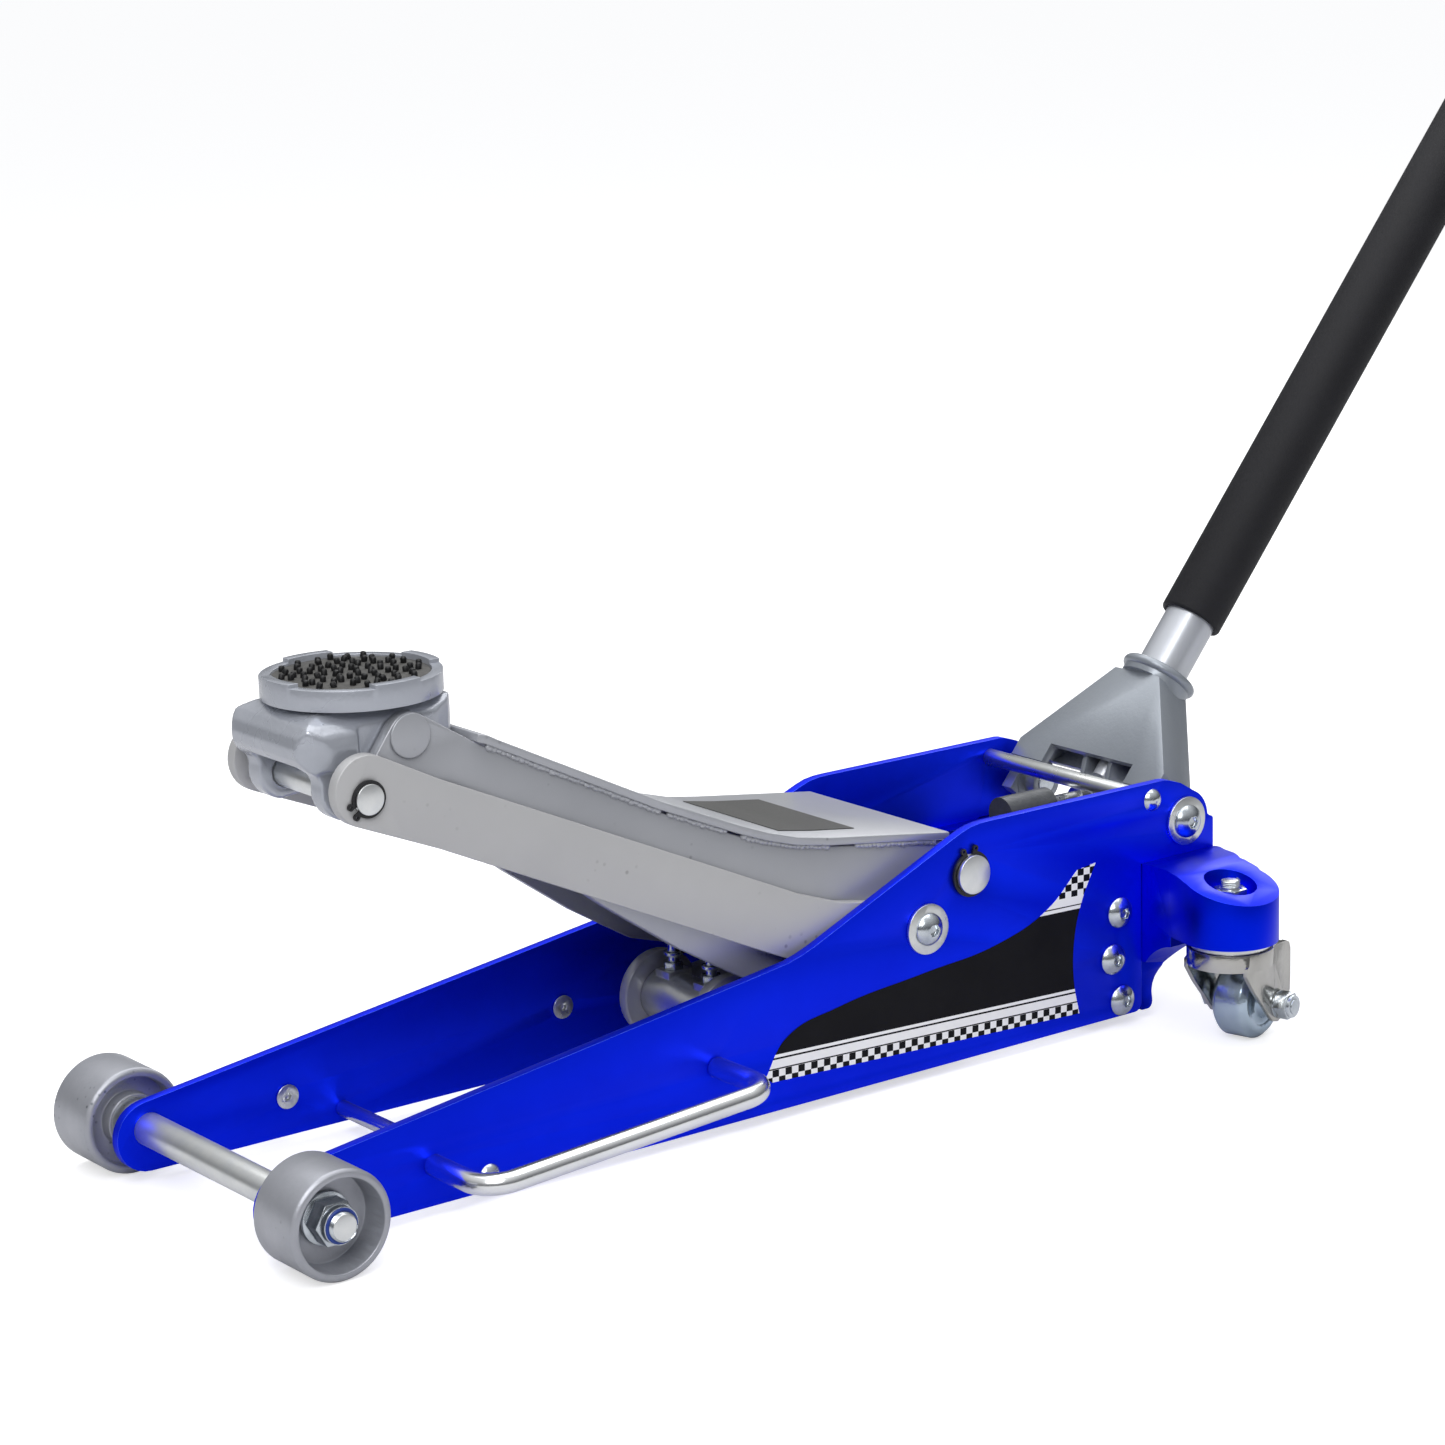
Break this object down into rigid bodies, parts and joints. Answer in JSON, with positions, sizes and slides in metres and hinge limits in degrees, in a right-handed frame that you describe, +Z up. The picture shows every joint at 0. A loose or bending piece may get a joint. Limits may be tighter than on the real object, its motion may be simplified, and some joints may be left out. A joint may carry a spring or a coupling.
{
  "type": "trolley jack",
  "caption": "Low-profile hydraulic trolley jack with twin side plates, lift arm and parallel links, swivelling saddle, pump handle, roller wheels and rear casters.",
  "frame": {"origin": "floor level, on the centre plane, midway along the whole length with the handle in its stored pose", "axes": "+X to the rear (handle end), +Y to the right side plate, +Z up"},
  "size_m": [1.4876, 0.3792, 1.0467],
  "materials": {
    "blue_aluminium": "satin anodised",
    "grey_paint": "satin",
    "zinc_steel": "zinc plated",
    "bright_chrome": "polished",
    "dark_casting": "rough painted",
    "black_steel": "black oxide",
    "silver_paint": "semi-gloss metallic",
    "black_rubber": "matt",
    "insert_plastic": "matt"
  },
  "bodies": {
    "frame": {"side_plate_left": "blue_aluminium", "side_plate_right": "blue_aluminium", "front_axle": "zinc_steel", "axle_spacers": "black_steel", "axle_nuts": "zinc_steel", "tie_rod": "zinc_steel", "rod_screws": "zinc_steel", "carry_handle_left": "bright_chrome", "carry_handle_right": "bright_chrome", "carry_handle_screws": "zinc_steel", "cross_bar": "zinc_steel", "main_shaft": "zinc_steel", "shaft_clips": "black_steel", "link_bolts": "zinc_steel", "pivot_bolts": "zinc_steel", "plate_washers": "zinc_steel", "caster_bracket_left": "blue_aluminium", "caster_bracket_right": "blue_aluminium", "bracket_bolts": "zinc_steel", "pump_block": "dark_casting", "ram_cylinder": "dark_casting", "return_springs": "black_steel", "caster_stems": "zinc_steel", "caster_nuts": "zinc_steel"},
    "lift_arm": {"arm_plate_left": "grey_paint", "arm_plate_right": "grey_paint", "arm_cover": "grey_paint", "arm_hub_tube": "grey_paint", "head_pins": "grey_paint", "drive_pins": "zinc_steel"},
    "parallel_links": {"link_left": "grey_paint", "link_right": "grey_paint", "lower_pin": "zinc_steel", "lower_pin_clips": "black_steel"},
    "head": {"saddle_head": "grey_paint"},
    "saddle": {"saddle_cup": "grey_paint", "saddle_insert": "insert_plastic", "saddle_nubs": "black_rubber"},
    "ram": {"crosshead": "zinc_steel", "hook_bolts": "zinc_steel", "drag_links": "grey_paint", "ram_rod": "bright_chrome"},
    "wheel_left": {"front_wheel_left": "grey_paint"},
    "wheel_right": {"front_wheel_right": "grey_paint"},
    "yoke": {"handle_yoke": "grey_paint"},
    "roller": {"pump_roller": "zinc_steel"},
    "pump": {"pump_plungers": "bright_chrome"},
    "handle": {"lower_tube": "silver_paint", "foam_sleeve": "black_rubber", "upper_tube": "silver_paint", "grip": "black_rubber"},
    "valve": {"release_valve": "zinc_steel"},
    "fork_left": {"caster_fork_left": "bright_chrome", "caster_axle_left": "zinc_steel"},
    "fork_right": {"caster_fork_right": "bright_chrome", "caster_axle_right": "zinc_steel"},
    "caster_left": {"caster_wheel_left": "zinc_steel"},
    "caster_right": {"caster_wheel_right": "zinc_steel"}
  },
  "joints": [
    {"name": "front_wheel_left_spin", "type": "hinge", "parent": "frame", "child": "wheel_left", "pos_m": [-0.71133, -0.117, 0.0325], "axis": [0, 1, 0], "continuous": true},
    {"name": "front_wheel_right_spin", "type": "hinge", "parent": "frame", "child": "wheel_right", "pos_m": [-0.71133, 0.117, 0.0325], "axis": [0, 1, 0], "continuous": true},
    {"name": "arm_lift", "type": "hinge", "parent": "frame", "child": "lift_arm", "pos_m": [-0.21233, 0, 0.1275], "axis": [0, 1, 0], "range_deg": [-28.8, 28.6]},
    {"name": "link_swing", "type": "hinge", "parent": "frame", "child": "parallel_links", "pos_m": [-0.24833, 0, 0.0985], "axis": [0, 1, 0], "range_deg": [-29, 28.8]},
    {"name": "head_level", "type": "hinge", "parent": "lift_arm", "child": "head", "pos_m": [-0.59783, 0, 0.275], "axis": [0, 1, 0], "range_deg": [-28.8, 29]},
    {"name": "saddle_swivel", "type": "hinge", "parent": "head", "child": "saddle", "pos_m": [-0.60433, 0, 0.293], "axis": [0, 0, 1], "continuous": true},
    {"name": "ram_slide", "type": "slide", "parent": "frame", "child": "ram", "axis": [-1, 0, 0], "range_m": [-0.0356, 0.0353], "deforming": ["return_springs"]},
    {"name": "yoke_pump", "type": "hinge", "parent": "frame", "child": "yoke", "pos_m": [-0.02733, 0, 0.1283], "axis": [0, 1, 0], "range_deg": [-35, 35]},
    {"name": "roller_spin", "type": "hinge", "parent": "yoke", "child": "roller", "pos_m": [-0.02933, 0, 0.101], "axis": [0, 1, 0], "continuous": true},
    {"name": "pump_stroke", "type": "slide", "parent": "frame", "child": "pump", "axis": [-1, 0, 0], "range_m": [-0.0168, 0.0168]},
    {"name": "handle_twist", "type": "hinge", "parent": "yoke", "child": "handle", "pos_m": [-0.03115, 0, 0.13152], "axis": [0.6441, 0, 0.7649], "range_deg": [-30, 90]},
    {"name": "valve_turn", "type": "hinge", "parent": "frame", "child": "valve", "pos_m": [-0.07133, 0, 0.131], "axis": [1, 0, 0], "range_deg": [-30.5, 90.5]},
    {"name": "caster_left_swivel", "type": "hinge", "parent": "frame", "child": "fork_left", "pos_m": [-0.05733, -0.158, 0.06], "axis": [0, 0, 1], "continuous": true},
    {"name": "caster_right_swivel", "type": "hinge", "parent": "frame", "child": "fork_right", "pos_m": [-0.05733, 0.158, 0.06], "axis": [0, 0, 1], "continuous": true},
    {"name": "caster_left_spin", "type": "hinge", "parent": "fork_left", "child": "caster_left", "pos_m": [-0.03797, -0.15299, 0.025], "axis": [-0.2504, 0.9681, 0], "continuous": true},
    {"name": "caster_right_spin", "type": "hinge", "parent": "fork_right", "child": "caster_right", "pos_m": [-0.03797, 0.15299, 0.025], "axis": [-0.2504, -0.9681, 0], "continuous": true}
  ],
  "couplings": [
    {"joint": "link_swing", "follows": "arm_lift", "ratio": 1},
    {"joint": "head_level", "follows": "arm_lift", "ratio": -1},
    {"joint": "ram_slide", "follows": "arm_lift", "m_per_rad": 0.0703},
    {"joint": "pump_stroke", "follows": "yoke_pump", "m_per_rad": 0.0273},
    {"joint": "valve_turn", "follows": "handle_twist", "ratio": 1}
  ]
}
